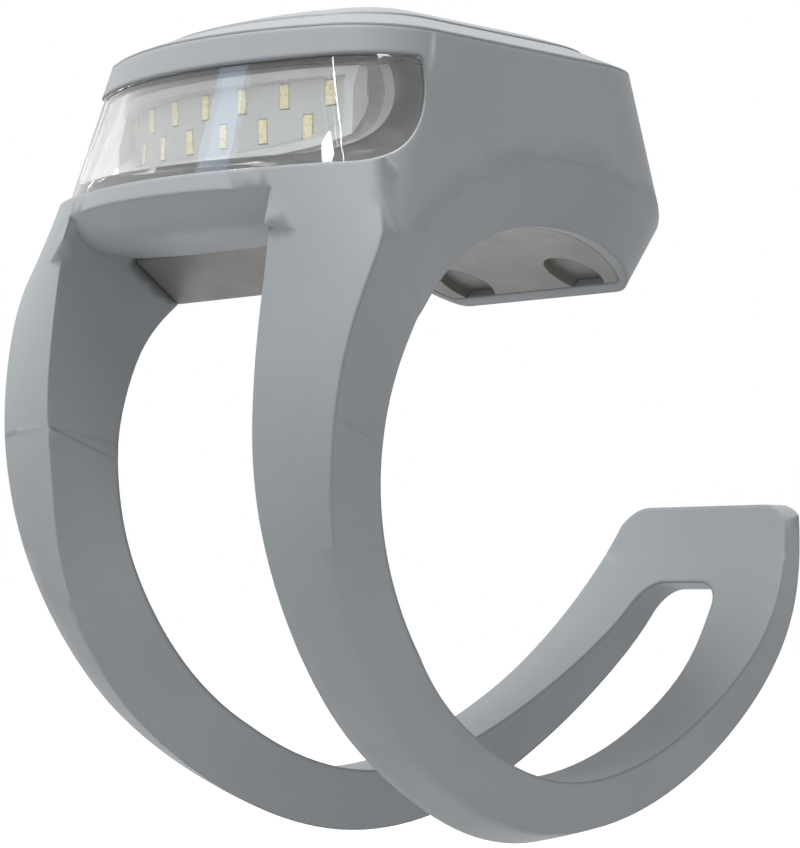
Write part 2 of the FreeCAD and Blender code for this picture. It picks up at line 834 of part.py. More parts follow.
def add_rectangle(doc, body, name, width, length, depth, x, y, z, kind="PartDesign::Pad"):
    """Pad or pocket a rectangle that is centred on x, starts at y and lies at level z."""
    sketch = doc.addObject("Sketcher::SketchObject", name + "_sketch")
    body.addObject(sketch)
    sketch.AttachmentSupport = [(own_plane(body, "XY_Plane"), "")]
    sketch.MapMode = "FlatFace"
    half = 1.0
    corners = [Vector(-half, 0, 0), Vector(half, 0, 0), Vector(half, 2.0, 0), Vector(-half, 2.0, 0)]
    for a, b in zip(corners, corners[1:] + corners[:1]):
        sketch.addGeometry(Part.LineSegment(a, b), False)
    for line in range(4):
        sketch.addConstraint(Sketcher.Constraint("Coincident", line, 2, (line + 1) % 4, 1))
    sketch.addConstraint(Sketcher.Constraint("Horizontal", 0))
    sketch.addConstraint(Sketcher.Constraint("Vertical", 1))
    sketch.addConstraint(Sketcher.Constraint("Symmetric", 0, 1, 0, 2, -1, 1))
    sketch.addConstraint(Sketcher.Constraint("Symmetric", 2, 1, 2, 2, -2))
    across = sketch.addConstraint(Sketcher.Constraint("DistanceX", 0, 1, 0, 2, 2 * half))
    along = sketch.addConstraint(Sketcher.Constraint("DistanceY", 1, 1, 1, 2, 2.0))
    sketch.setExpression(f"Constraints[{across}]", width)
    sketch.setExpression(f"Constraints[{along}]", length)
    sketch.setExpression("AttachmentOffset.Base.x", x)
    sketch.setExpression("AttachmentOffset.Base.y", y)
    sketch.setExpression("AttachmentOffset.Base.z", z)
    feature = doc.addObject(kind, name)
    body.addObject(feature)
    feature.Profile = sketch
    feature.setExpression("Length", depth)
    sketch.Visibility = False
    doc.recompute()
    return feature


def add_circle(doc, body, name, radius, depth, x, y, z, kind="PartDesign::Pad"):
    """Pad or pocket a circle whose centre is at x, y and that lies at level z."""
    sketch = doc.addObject("Sketcher::SketchObject", name + "_sketch")
    body.addObject(sketch)
    sketch.AttachmentSupport = [(own_plane(body, "XY_Plane"), "")]
    sketch.MapMode = "FlatFace"
    sketch.addGeometry(Part.Circle(Vector(), Vector(0, 0, 1), 1.0), False)
    sketch.addConstraint(Sketcher.Constraint("Coincident", 0, 3, -1, 1))
    size = sketch.addConstraint(Sketcher.Constraint("Radius", 0, 1.0))
    sketch.setExpression(f"Constraints[{size}]", radius)
    sketch.setExpression("AttachmentOffset.Base.x", x)
    sketch.setExpression("AttachmentOffset.Base.y", y)
    sketch.setExpression("AttachmentOffset.Base.z", z)
    feature = doc.addObject(kind, name)
    body.addObject(feature)
    feature.Profile = sketch
    feature.setExpression("Length", depth)
    sketch.Visibility = False
    doc.recompute()
    return feature


def bound_box(doc, name, width, length, height, x, y, z):
    """A box centred on x that starts at y and at level z."""
    box = doc.addObject("Part::Box", name)
    box.setExpression("Length", width)
    box.setExpression("Width", length)
    box.setExpression("Height", height)
    box.setExpression("Placement.Base.x", f"{x} - ({width}) / 2")
    box.setExpression("Placement.Base.y", y)
    box.setExpression("Placement.Base.z", z)
    return box


def bound_cylinder(doc, name, radius, height, x, y, z, along_y=False):
    """An upright cylinder, or one that lies along Y, from its first end's centre."""
    cylinder = doc.addObject("Part::Cylinder", name)
    if along_y:
        cylinder.Placement = Placement(Vector(), Rotation(Vector(1, 0, 0), -90))
    cylinder.setExpression("Radius", radius)
    cylinder.setExpression("Height", height)
    cylinder.setExpression("Placement.Base.x", x)
    cylinder.setExpression("Placement.Base.y", y)
    cylinder.setExpression("Placement.Base.z", z)
    return cylinder


def joined(doc, name, items):
    whole = doc.addObject("Part::MultiFuse", name)
    whole.Shapes = items
    return whole


def grouped(doc, name, items):
    """Separate equal pieces kept together as one sub-part."""
    group = doc.addObject("Part::Compound", name)
    group.Label = name
    group.Links = items
    group.Placement = Placement()
    return group


def add_boards_and_cell(doc, nodes):
    board_top = "(sheet.board_low + sheet.board_thick)"

    board = new_body(doc, "main_board")
    add_rectangle(doc, board, "main_board_plate", "2 * sheet.board_half_width", "sheet.board_length",
                  "sheet.board_thick", "0", "-sheet.board_reach", "sheet.board_low")
    add_rectangle(doc, board, "main_board_tab", "2 * sheet.tab_half_width",
                  "sheet.tab_length + 1", "sheet.board_thick", "0",
                  "sheet.board_length - sheet.board_reach - 1", "sheet.board_low")
    for side, sign in (("left", "-"), ("right", "")):
        add_circle(doc, board, f"main_board_hole_{side}", "sheet.screw_radius", "sheet.board_thick",
                   f"{sign}sheet.post_side", "sheet.post_station", board_top,
                   "PartDesign::Pocket")
    nodes.append(board)

    driver = new_body(doc, "driver_chip")
    add_rectangle(doc, driver, "driver_chip_block", "sheet.driver_size", "sheet.driver_size",
                  "sheet.driver_height", "-sheet.chip_side",
                  "-sheet.button_reach - sheet.driver_size / 2", board_top)
    nodes.append(driver)

    charger = new_body(doc, "charge_chip")
    add_rectangle(doc, charger, "charge_chip_block", "sheet.charger_length", "sheet.charger_width",
                  "sheet.charger_height", "0", "sheet.post_station - sheet.charger_width / 2", board_top)
    nodes.append(charger)

    coil = new_body(doc, "power_coil")
    add_circle(doc, coil, "power_coil_block", "sheet.coil_radius", "sheet.coil_height",
               "sheet.chip_side", "-sheet.button_reach", board_top)
    nodes.append(coil)

    capacitors = []
    for step in (-2, -1, 0, 1, 2):
        capacitors.append(bound_box(
            doc, f"capacitor_{step + 3}", "sheet.capacitor_width", "sheet.capacitor_length",
            "sheet.capacitor_height", f"({step}) * sheet.capacitor_pitch",
            "0.35 - sheet.button_reach - sheet.switch_width", board_top))
    nodes.append(grouped(doc, "capacitors", capacitors))

    switch = new_body(doc, "tact_switch")
    add_rectangle(doc, switch, "tact_switch_block", "sheet.switch_width", "sheet.switch_width",
                  "sheet.switch_height", "0", "-sheet.button_reach - sheet.switch_width / 2", board_top)
    add_circle(doc, switch, "tact_switch_hole", "sheet.stem_radius + sheet.stem_gap",
               f"{board_top} + sheet.switch_height - sheet.stem_low + sheet.stem_room",
               "0", "-sheet.button_reach", f"{board_top} + sheet.switch_height",
               "PartDesign::Pocket")
    nodes.append(switch)

    stem = new_body(doc, "switch_stem")
    add_circle(doc, stem, "switch_stem_pin", "sheet.stem_radius", "sheet.plunger_low - sheet.stem_low",
               "0", "-sheet.button_reach", "sheet.stem_low")
    nodes.append(stem)

    cell = new_body(doc, "battery_cell")
    block = add_rectangle(doc, cell, "battery_cell_block", "sheet.cell_width", "sheet.cell_length",
                          "sheet.cell_thick", "0", "-sheet.cell_reach", "sheet.cell_low")
    rounding = doc.addObject("PartDesign::Fillet", "battery_cell_corners")
    cell.addObject(rounding)
    upright = [f"Edge{index}" for index, edge in enumerate(block.Shape.Edges, start=1)
               if abs(edge.tangentAt(edge.FirstParameter).z) > 0.9]
    rounding.Base = (block, upright)
    rounding.setExpression("Radius", "sheet.cell_corner")
    nodes.append(cell)

    pad = new_body(doc, "battery_pad")
    add_rectangle(doc, pad, "battery_pad_sheet", "sheet.pad_width", "sheet.pad_length",
                  "sheet.pad_thick", "0", "-sheet.pad_reach", "sheet.cell_low - sheet.pad_thick")
    nodes.append(pad)

    leads = []
    for side, sign in (("left", "-"), ("right", "")):
        x = f"{sign}sheet.lead_side"
        cell_end = "(sheet.cell_length - sheet.cell_reach)"
        run = bound_cylinder(doc, f"lead_run_{side}", "sheet.lead_radius", "sheet.lead_run",
                             x, cell_end, "sheet.lead_level", True)
        rise = bound_cylinder(doc, f"lead_rise_{side}", "sheet.lead_radius",
                              "sheet.board_low - sheet.lead_level", x,
                              f"{cell_end} + sheet.lead_run", "sheet.lead_level")
        elbow = doc.addObject("Part::Sphere", f"lead_elbow_{side}")
        elbow.setExpression("Radius", "sheet.lead_radius")
        elbow.setExpression("Placement.Base.x", x)
        elbow.setExpression("Placement.Base.y", f"{cell_end} + sheet.lead_run")
        elbow.setExpression("Placement.Base.z", "sheet.lead_level")
        leads.append(joined(doc, f"lead_{side}", [run, rise, elbow]))
    nodes.append(grouped(doc, "battery_leads", leads))

    screws = []
    for side, sign in (("left", "-"), ("right", "")):
        x = f"{sign}sheet.post_side"
        head = bound_cylinder(doc, f"screw_head_{side}", "sheet.screw_head_radius",
                              "sheet.screw_head_height", x, "sheet.post_station",
                              "sheet.board_low - sheet.screw_head_height")
        shank = bound_cylinder(doc, f"screw_shank_{side}", "sheet.screw_radius",
                               "sheet.screw_length", x, "sheet.post_station",
                               "sheet.board_low - sheet.screw_head_height / 2")
        screws.append(joined(doc, f"screw_{side}", [head, shank]))
    nodes.append(grouped(doc, "board_screws", screws))

    shell = bound_box(doc, "socket_shell", "sheet.socket_width", "sheet.socket_length",
                      "sheet.socket_height", "0", "sheet.socket_station",
                      "sheet.board_low - sheet.socket_height")
    mouth = bound_box(doc, "socket_mouth", "sheet.socket_width - 2 * sheet.socket_wall",
                      "sheet.socket_length", "sheet.socket_height - 2 * sheet.socket_wall", "0",
                      "sheet.socket_station + sheet.socket_wall",
                      "sheet.board_low - sheet.socket_height + sheet.socket_wall")
    socket = doc.addObject("Part::Cut", "charge_socket")
    socket.Label = "charge_socket"
    socket.Base = shell
    socket.Tool = mouth
    nodes.append(socket)

    tongue = bound_box(doc, "socket_tongue", "sheet.tongue_width", "sheet.tongue_length",
                       "sheet.tongue_thick", "0", "sheet.socket_station + sheet.socket_wall",
                       "sheet.board_low - sheet.socket_height / 2 - sheet.tongue_thick / 2")
    tongue.Label = "socket_tongue"
    nodes.append(tongue)


def write_parts(doc, nodes):
    """Check every object and write each sub-part's solid."""
    for item in doc.Objects:
        if "Invalid" in item.State or "Error" in item.State:
            raise RuntimeError(f"{item.Label} failed")
    for item in nodes:
        if item.Shape.isNull() or not item.Shape.isValid():
            raise RuntimeError(f"{item.Label} has no valid shape")
    os.makedirs("parts", exist_ok=True)
    for item in nodes:
        item.Shape.exportStep(f"parts/{item.Label}.step")
        print(item.Label, len(item.Shape.Solids), round(item.Shape.Volume, 3))


def add_shape(doc, name, shape):
    item = doc.addObject("Part::Feature", name)
    item.Label = name
    item.Shape = shape
    item.Placement = Placement()
    return item


def add_silicone(doc, nodes, s):
    """The sleeve with its cavity, the hooked band and the button's dome."""
    outer = head_outer(s, 0.0, 0.0, 0.0).cut(bar_cylinder(s.bar_radius))
    band = band_loft(s, s.collar_angle, s.tip_angle, 18)
    band = band.common(side_envelope(s, s.collar_angle - 2.0, s.tip_angle + 2.0, 18, 0.0))
    band = band.cut(bar_space(s)).cut(tip_corners(s))
    slot = slot_cutter(s)
    upper_slot = slot.common(chin_space(s).fuse(beyond_angle(s.knee_angle)))
    silicone = outer.fuse(band).cut(upper_slot)
    cavity = module_form(s, 0.0, s.skin_top)
    behind = box_between(Vector(-40.0, 0, -40.0), Vector(40.0, 40.0, 6.0))
    sleeve = silicone.cut(beyond_angle(s.flex_angle).fuse(behind))
    sleeve = sleeve.cut(cavity).cut(button_hole(s)).cut(window_prism(s, 0.0, 0.0))
    nodes.append(add_shape(doc, "silicone_sleeve", sleeve))
    wedge = beyond_angle(s.flex_angle, s.flex_radius, s.flex_angle, -s.flex_wedge)
    hook = silicone.common(wedge.common(beyond_angle(s.flex_angle)).fuse(behind))
    nodes.append(add_shape(doc, "hook_band", hook))
    dome = crowned(s, 0.0, 0.0).common(head_block(s, s.button_seam))
    dome = dome.cut(under_button(s, s.button_skin))
    nodes.append(add_shape(doc, "press_dome", dome))


def add_module(doc, nodes, s):
    """The hard shells with lens, seals, tray, lamps and ribbon."""
    reach = 40.0
    above_split = box_between(Vector(-reach, -reach, s.split_level), Vector(reach, reach, reach))
    form = module_form(s, s.fit_gap, s.skin_top + s.fit_gap)
    form = form.common(under_button(s, s.button_skin + s.travel_room))
    form = form.cut(bar_cylinder(s.bar_radius))
    room = module_form(s, s.fit_gap + s.shell_wall, s.ceiling_drop)
    room = room.cut(bar_cylinder(s.bar_radius + s.saddle_wall))
    middle = Vector(0, -s.button_reach, 0)
    button_bore = Part.makeCylinder(s.plunger_radius + s.plunger_gap, 30.0, middle)
    board_top = s.board_low + s.board_thick

    rear_window = box_between(
        Vector(-s.socket_window, 0, s.board_low - s.socket_height - 0.2),
        Vector(s.socket_window, 20.0, s.board_low + 0.2))
    posts = None
    for side in (-1, 1):
        post = Part.makeCylinder(s.post_radius, s.post_height,
                                 Vector(side * s.post_side, s.post_station, board_top))
        hole = Part.makeCylinder(s.screw_radius, s.screw_length,
                                 Vector(side * s.post_side, s.post_station,
                                        s.board_low - s.screw_head_height / 2))
        post = post.cut(hole)
        posts = post if posts is None else posts.fuse(post)
    seal_inset = s.fit_gap + s.seal_inset
    seal_outer = head_outer(s, s.skin + seal_inset, s.lip_lift + seal_inset, s.skin_top)
    seal_inset += s.seal_width
    seal_inner = head_outer(s, s.skin + seal_inset, s.lip_lift + seal_inset, s.skin_top)
    seal_slab = box_between(Vector(-reach, -reach, s.split_level - s.seal_height),
                            Vector(reach, reach, s.split_level))
    seal = seal_outer.cut(seal_inner).common(seal_slab)
    seal = seal.common(form).cut(room)

    window = window_prism(s, s.gasket_wall, s.gasket_wall)
    cover = form.common(above_split).cut(room).cut(window).cut(button_bore).cut(rear_window)
    cover = cover.fuse(posts)
    nodes.append(add_shape(doc, "module_cover", cover))

    base = form.cut(above_split).cut(room).cut(seal)
    for side in (-1, 1):
        angle = -math.degrees(math.asin(s.recess_station / s.bar_radius))
        start = ring_point(side * s.recess_side, s.bar_radius - 1.0, angle)
        direction = ring_point(0, 1.0, angle)
        base = base.cut(Part.makeCylinder(s.recess_radius, 1.0 + s.recess_depth, start, direction))
    nodes.append(add_shape(doc, "module_base", base))
    nodes.append(add_shape(doc, "shell_seal", seal))

    wall = head_block(s, s.lens_recess)
    back = head_block(s, s.lens_depth)
    hollow = head_block(s, s.lens_recess + s.lens_wall)
    lens_outline = window_prism(s, 0.0, 0.0)
    lens = wall.cut(back).common(lens_outline)
    lens = lens.cut(hollow.common(window_prism(s, -s.lens_edge, -s.lens_end_edge)))
    nodes.append(add_shape(doc, "lens", lens))
    gasket = head_block(s, s.skin + s.fit_gap).cut(head_block(s, s.skin + s.fit_gap + s.shell_wall))
    gasket = gasket.common(window).cut(lens_outline)
    nodes.append(add_shape(doc, "lens_gasket", gasket))

    clear = 0.1
    lens_room = window_prism(s, -s.lens_edge - clear, -s.lens_end_edge - clear)
    lens_room = lens_room.common(head_block(s, s.lens_recess + s.lens_wall + clear))
    board = arc_slab(s, s.board_arc - s.light_board_thick, s.board_arc, s.light_board_low,
                     s.light_board_high, s.light_board_half_angle).common(lens_room)
    nodes.append(add_shape(doc, "led_board", board))
    tray_back = s.board_arc + s.tray_gap
    tray = arc_slab(s, tray_back, tray_back + s.tray_depth, s.window_low, s.window_high,
                    s.tray_half_angle).common(lens_room)
    inner_room = window_prism(s, -s.lens_edge - clear - s.tray_wall,
                              -s.lens_end_edge - clear - s.tray_wall)
    inner_half = s.tray_half_angle - math.degrees(s.tray_wall / s.board_arc)
    bowl = arc_slab(s, tray_back + s.tray_wall, tray_back + s.tray_depth + 1.0, s.window_low,
                    s.window_high, inner_half).common(inner_room)
    tray = tray.cut(bowl)
    tray = tray.cut(Part.makeCompound(lamp_boxes(s, s.tray_gap, s.lamp_depth + 1.0)))
    nodes.append(add_shape(doc, "reflector_tray", tray))
    nodes.append(add_shape(doc, "leds", Part.makeCompound(lamp_boxes(s, 0.0, s.lamp_depth))))
    back_level = s.board_front - s.light_board_thick
    ribbon_points = [(-back_level - 0.3, board_top - 1.6), (-back_level + 0.25, board_top - 1.6),
                     (-back_level + 0.25, board_top), (-s.board_reach + 1.0, board_top),
                     (-s.board_reach + 1.0, board_top + s.ribbon_thick),
                     (-back_level - 0.3, board_top + s.ribbon_thick)]
    ribbon = extrude_along_x(polygon_edges([Vector(0, y, z) for y, z in ribbon_points]),
                             s.ribbon_half_width)
    ribbon = ribbon.cut(arc_slab(s, s.board_arc - s.light_board_thick, s.board_arc + 2.0, 10.0, 25.0,
                                 s.light_board_half_angle))
    nodes.append(add_shape(doc, "led_ribbon", ribbon))

    plunger = Part.makeCylinder(s.plunger_radius, 4.0, middle + Vector(0, 0, s.plunger_low))
    plunger = plunger.fuse(Part.makeCylinder(s.flange_radius, s.flange_thick,
                                             middle + Vector(0, 0, s.plunger_low)))
    plunger = plunger.common(under_button(s, s.button_skin)).removeSplitter()
    nodes.append(add_shape(doc, "button_plunger", plunger))


def main():
    doc = FreeCAD.newDocument("bike_light")
    sheet = add_sheet(doc)
    s = Sizes(sheet)
    nodes = []
    add_silicone(doc, nodes, s)
    add_module(doc, nodes, s)
    add_boards_and_cell(doc, nodes)
    doc.recompute()
    write_parts(doc, nodes)


main()
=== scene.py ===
import math

import bmesh
import bpy
import numpy as np
from mathutils import Matrix, Vector


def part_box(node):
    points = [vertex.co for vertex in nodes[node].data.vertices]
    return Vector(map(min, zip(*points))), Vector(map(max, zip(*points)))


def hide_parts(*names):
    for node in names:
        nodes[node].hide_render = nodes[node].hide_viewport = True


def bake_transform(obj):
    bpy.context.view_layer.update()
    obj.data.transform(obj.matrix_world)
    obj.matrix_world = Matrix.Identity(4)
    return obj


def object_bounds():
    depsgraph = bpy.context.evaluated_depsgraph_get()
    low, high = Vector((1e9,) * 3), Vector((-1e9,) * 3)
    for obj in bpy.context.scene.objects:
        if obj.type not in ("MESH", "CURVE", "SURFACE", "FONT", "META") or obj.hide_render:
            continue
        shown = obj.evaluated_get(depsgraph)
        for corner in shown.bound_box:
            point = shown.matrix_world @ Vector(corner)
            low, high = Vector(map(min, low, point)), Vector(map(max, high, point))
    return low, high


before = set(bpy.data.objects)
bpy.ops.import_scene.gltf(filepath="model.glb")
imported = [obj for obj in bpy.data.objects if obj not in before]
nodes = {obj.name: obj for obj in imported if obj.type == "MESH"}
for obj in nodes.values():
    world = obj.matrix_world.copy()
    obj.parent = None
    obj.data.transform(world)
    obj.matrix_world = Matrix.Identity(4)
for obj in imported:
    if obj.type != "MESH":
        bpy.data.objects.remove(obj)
cad_low, cad_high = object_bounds()

MM = 0.001

# Sizes and places are in millimetres and angles in degrees, in the frame of the handlebar:
# X along the bar, the light shines towards -Y, Z up.

# The hinge that stands in for the bend of the arms, and the wedge kept free below the head
FLEX_TURN = 78.0
FLEX_RADIUS = 16.72
FLEX_WEDGE = 10.6
ON_PLANE = 0.002
LEDGE = 0.12

# The rim round the dome, and the level at which the skin is cut into dome and body
CUT_LEVEL = 20.83
CUT_STATION = -4.0
RIM_TILT = 2.0
DOME_WIDEN = 1.03

# Edges that turn by more than this stay crisp
SHARP_TURN = 24.0

# The lens is drawn this much smaller all round, clear of the faces that it touches
LENS_CLEARANCE = 0.03

CAMERA_TURN = 52.0
CAMERA_RISE = -2.7
CAMERA_DISTANCE = 180.0
CAMERA_AIM = (0.0, -1.6, 3.7)
CAMERA_LENS = 156.65

# The floor lies below the reach of the opened band
FLOOR_DROP = 24.0
FLOOR_REACH = 1500.0


def ring_point(radius, turn):
    """A point at a radius from the bar's axis, turned from straight up over the front."""
    turn = math.radians(turn)
    return Vector((0.0, -radius * math.sin(turn), radius * math.cos(turn)))


# Camera at the photograph's viewing angle

def add_camera():
    turn, rise = math.radians(CAMERA_TURN), math.radians(CAMERA_RISE)
    back = Vector((math.sin(turn) * math.cos(rise), -math.cos(turn) * math.cos(rise), math.sin(rise)))
    data = bpy.data.cameras.new("camera")
    data.lens = CAMERA_LENS
    data.sensor_width = 36.0
    data.clip_start = 0.005
    data.clip_end = 20.0
    camera = bpy.data.objects.new("camera", data)
    bpy.context.scene.collection.objects.link(camera)
    camera.location = (Vector(CAMERA_AIM) + back * CAMERA_DISTANCE) * MM
    camera.rotation_mode = "QUATERNION"
    camera.rotation_quaternion = (-back).to_track_quat("-Z", "Y")
    bpy.context.scene.camera = camera


# Materials

def colour(hex_code):
    """Linear colour of an sRGB hex value."""
    parts = [int(hex_code[i:i + 2], 16) / 255.0 for i in (0, 2, 4)]
    linear = [p / 12.92 if p <= 0.04045 else ((p + 0.055) / 1.055) ** 2.4 for p in parts]
    return (*linear, 1.0)


def add_node(tree, kind, settings=None, links=None):
    """Add a node, set its sockets and attributes, and link sockets of other nodes into it."""
    node = tree.nodes.new(kind)
    for name, value in (settings or {}).items():
        if name in node.inputs:
            node.inputs[name].default_value = value
        else:
            setattr(node, name, value)
    for name, source in (links or {}).items():
        tree.links.new(source, node.inputs[name])
    return node


def new_material(name, settings):
    """A material with its node tree and shader, and the shader's own sockets set."""
    material = bpy.data.materials.new(name)
    material.use_nodes = True
    shader = material.node_tree.nodes["Principled BSDF"]
    for socket, value in settings.items():
        shader.inputs[socket].default_value = value
    return material, material.node_tree, shader


def mottled(tree, low, high, size_mm, detail=3.0):
    """A colour that drifts between two close tones over patches of size_mm."""
    place = add_node(tree, "ShaderNodeTexCoord").outputs["Object"]
    noise = add_node(tree, "ShaderNodeTexNoise", {"Scale": 1.0 / (size_mm * MM), "Detail": detail},
                     {"Vector": place})
    ramp = add_node(tree, "ShaderNodeValToRGB", {}, {"Fac": noise.outputs["Fac"]})
    ramp.color_ramp.elements[0].position = 0.3
    ramp.color_ramp.elements[0].color = colour(low)
    ramp.color_ramp.elements[1].position = 0.7
    ramp.color_ramp.elements[1].color = colour(high)
    return ramp.outputs["Color"]


def grain(tree, shader, size_mm, depth_mm, strength, edge_mm=0.05):
    """Fine raised grain of size_mm between its peaks, on edges rounded by edge_mm."""
    place = add_node(tree, "ShaderNodeTexCoord").outputs["Object"]
    noise = add_node(tree, "ShaderNodeTexNoise", {"Scale": 1.0 / (size_mm * MM), "Detail": 2.0},
                     {"Vector": place})
    rounded = add_node(tree, "ShaderNodeBevel", {"samples": 6, "Radius": edge_mm * MM})
    bump = add_node(tree, "ShaderNodeBump", {"Strength": strength, "Distance": depth_mm * MM},
                    {"Height": noise.outputs["Fac"], "Normal": rounded.outputs["Normal"]})
    tree.links.new(bump.outputs["Normal"], shader.inputs["Normal"])


def rough_range(tree, shader, size_mm, low, high):
    """Roughness that varies between low and high over patches of size_mm."""
    place = add_node(tree, "ShaderNodeTexCoord").outputs["Object"]
    noise = add_node(tree, "ShaderNodeTexNoise", {"Scale": 1.0 / (size_mm * MM), "Detail": 4.0},
                     {"Vector": place})
    spread = add_node(tree, "ShaderNodeMapRange", {"From Min": 0.3, "From Max": 0.7, "To Min": low,
                                                   "To Max": high}, {"Value": noise.outputs["Fac"]})
    tree.links.new(spread.outputs["Result"], shader.inputs["Roughness"])


def moulded_silicone():
    """Compression-moulded grey silicone from a blasted mould: dull, with a faint soft sheen."""
    material, tree, shader = new_material("moulded_silicone_grey", {
        "IOR": 1.41, "Specular IOR Level": 0.4, "Sheen Weight": 0.12, "Sheen Roughness": 0.5})
    tree.links.new(mottled(tree, "878B8E", "8A8F92", 7.0), shader.inputs["Base Color"])
    rough_range(tree, shader, 3.0, 0.56, 0.64)
    grain(tree, shader, 0.09, 0.004, 0.25, 0.3)
    return material


def eroded_plastic(name, low, high, rough):
    """Plastic or rubber from a spark-eroded mould: fine matt grain that evens out the light."""
    material, tree, shader = new_material(name, {"IOR": 1.52, "Specular IOR Level": 0.45})
    tree.links.new(mottled(tree, low, high, 4.0), shader.inputs["Base Color"])
    rough_range(tree, shader, 1.5, rough - 0.05, rough + 0.05)
    grain(tree, shader, 0.12, 0.006, 0.3)
    return material


def clear_polycarbonate():
    """Polished clear polycarbonate: sharp reflections, a faint haze, and light falls through it."""
    material, tree, shader = new_material("clear_polycarbonate", {
        "IOR": 1.585, "Transmission Weight": 0.94, "Roughness": 0.015,
        "Base Color": colour("F1F2F1")})
    rough_range(tree, shader, 2.0, 0.01, 0.03)
    path = add_node(tree, "ShaderNodeLightPath")
    clear = add_node(tree, "ShaderNodeBsdfTransparent", {"Color": colour("E6E8E7")})
    mix = add_node(tree, "ShaderNodeMixShader", {}, {"Fac": path.outputs["Is Shadow Ray"]})
    tree.links.new(shader.outputs[0], mix.inputs[1])
    tree.links.new(clear.outputs[0], mix.inputs[2])
    tree.links.new(mix.outputs[0], tree.nodes["Material Output"].inputs["Surface"])
    return material


def smooth_coat(name, low, high, rough=0.25):
    """Smooth moulded plastic, coating, film or ceramic: even colour with soft reflections."""
    material, tree, shader = new_material(name, {"IOR": 1.5})
    tree.links.new(mottled(tree, low, high, 2.0), shader.inputs["Base Color"])
    rough_range(tree, shader, 1.0, rough - 0.04, rough + 0.04)
    return material


def plated_metal(name, low, high, rough):
    """Plated sheet or foil: a bright metal with a slightly blurred reflection."""
    material, tree, shader = new_material(name, {"Metallic": 1.0})
    tree.links.new(mottled(tree, low, high, 1.0), shader.inputs["Base Color"])
    rough_range(tree, shader, 0.5, rough - 0.06, rough + 0.06)
    return material


def phosphor_lamp():
    """Lamp of clear resin over yellow phosphor, in a white housing."""
    material, tree, shader = new_material("lamp_phosphor_resin", {"IOR": 1.53, "Coat Weight": 0.6,
                                                                 "Coat Roughness": 0.05})
    tree.links.new(mottled(tree, "E2C874", "F7F1CF", 0.16, 1.0), shader.inputs["Base Color"])
    rough_range(tree, shader, 0.4, 0.15, 0.3)
    return material


# Meshes

def mesh_object(name, mesh):
    """A piece in the scene that shows the mesh."""
    piece = bpy.data.objects.new(name, mesh)
    bpy.context.scene.collection.objects.link(piece)
    return piece


def apply_modifier(piece, kind, **settings):
    """Add one modifier and make its result the piece's own mesh."""
    modifier = piece.modifiers.new("step", kind)
    for name, value in settings.items():
        setattr(modifier, name, value)
    bpy.context.view_layer.update()
    graph = bpy.context.evaluated_depsgraph_get()
    mesh = bpy.data.meshes.new_from_object(piece.evaluated_get(graph))
    old = piece.data
    piece.modifiers.clear()
    piece.data = mesh
    bpy.data.meshes.remove(old)
    return piece


def points_of(mesh):
    """The places of the mesh's points, one row each."""
    flat = np.zeros(len(mesh.vertices) * 3, np.float32)
    mesh.vertices.foreach_get("co", flat)
    return flat.reshape(-1, 3).astype(float)


def flex_planes():
    """The planes on which the head's arms and the band's end, each as a point and a normal."""
    upper = Vector((0.0, 0.0, 0.0)), ring_point(1.0, FLEX_TURN + 90.0)
    hinge = ring_point(FLEX_RADIUS, FLEX_TURN) * MM
    lower = hinge, ring_point(1.0, FLEX_TURN - FLEX_WEDGE + 90.0)
    return upper, lower


def flex_filler(side):
    """The wedge that is kept free between the head's arm and the band's, on one side."""
    upper = points_of(nodes["silicone_sleeve"].data)
    lower = points_of(nodes["hook_band"].data)
    (_, level), (hinge, slanted) = flex_planes()
    above = upper[np.abs(upper @ np.array(level)) < ON_PLANE * MM]
    below = lower[np.abs((lower - np.array(hinge)) @ np.array(slanted)) < ON_PLANE * MM]
    corners = [p for p in np.vstack([above, below]) if p[0] * side > 0 and p[1] < 0]
    work = bmesh.new()
    bmesh.ops.convex_hull(work, input=[work.verts.new(p) for p in corners])
    return work


def join(skin, work):
    """Unite the skin with the mesh in work, which is used up."""
    mesh = bpy.data.meshes.new("part")
    work.to_mesh(mesh)
    work.free()
    part = mesh_object("part", mesh)
    apply_modifier(skin, "BOOLEAN", object=part, operation="UNION", solver="EXACT")
    bpy.data.objects.remove(part)
    bpy.data.meshes.remove(mesh)


def close_ledges(skin):
    """Merge the hair-thin ledges where the wedges meet the arms."""
    work = bmesh.new()
    work.from_mesh(skin.data)
    near = [v for v in work.verts if v.co.y < 0
            and any(abs((v.co - point).dot(normal)) < LEDGE * MM for point, normal in flex_planes())]
    bmesh.ops.remove_doubles(work, verts=near, dist=LEDGE * MM)
    work.to_mesh(skin.data)
    work.free()


def wider_dome():
    """The dome, a little wider, so that it closes the gap round its edge."""
    low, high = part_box("press_dome")
    middle = (low + high) / 2
    widen = Matrix.Diagonal((DOME_WIDEN, DOME_WIDEN, 1.0, 1.0))
    work = bmesh.new()
    work.from_mesh(nodes["press_dome"].data)
    bmesh.ops.transform(work, verts=work.verts, matrix=(
        Matrix.Translation(middle) @ widen @ Matrix.Translation(-middle)))
    return work


def silicone_skin():
    """The sleeve, band and dome as one moulding."""
    skin = mesh_object("silicone_skin", nodes["silicone_sleeve"].data.copy())
    band = bmesh.new()
    band.from_mesh(nodes["hook_band"].data)
    for work in (band, flex_filler(-1.0), flex_filler(1.0), wider_dome()):
        join(skin, work)
    close_ledges(skin)
    return skin


